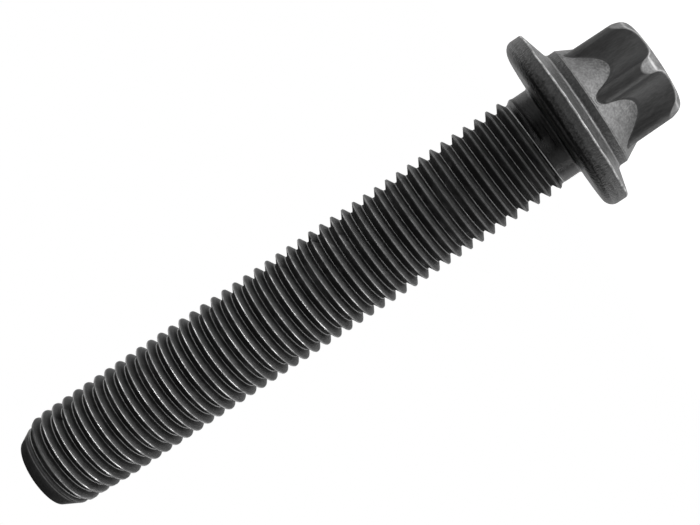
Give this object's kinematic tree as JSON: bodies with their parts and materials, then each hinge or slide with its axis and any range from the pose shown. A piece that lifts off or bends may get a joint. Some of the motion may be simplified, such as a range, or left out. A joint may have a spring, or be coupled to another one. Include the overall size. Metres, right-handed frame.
{
  "type": "connecting rod bolt",
  "caption": "Flanged connecting rod bolt in dark phosphated steel, threaded almost to the head, with an external six-lobe drive and a tapered tip.",
  "frame": {"origin": "centre of the bearing face under the head, on the bolt's axis", "axes": "+Z along the bolt's axis from the head to the tip; -Y towards one of the six lobes"},
  "size_m": [0.018, 0.018, 0.0701],
  "materials": {
    "phosphated_steel": "dark grey phosphate, rubbed bright on the thread crests and the edges of the head"
  },
  "bodies": {
    "root": {"rod_bolt": "phosphated_steel"}
  },
  "joints": []
}
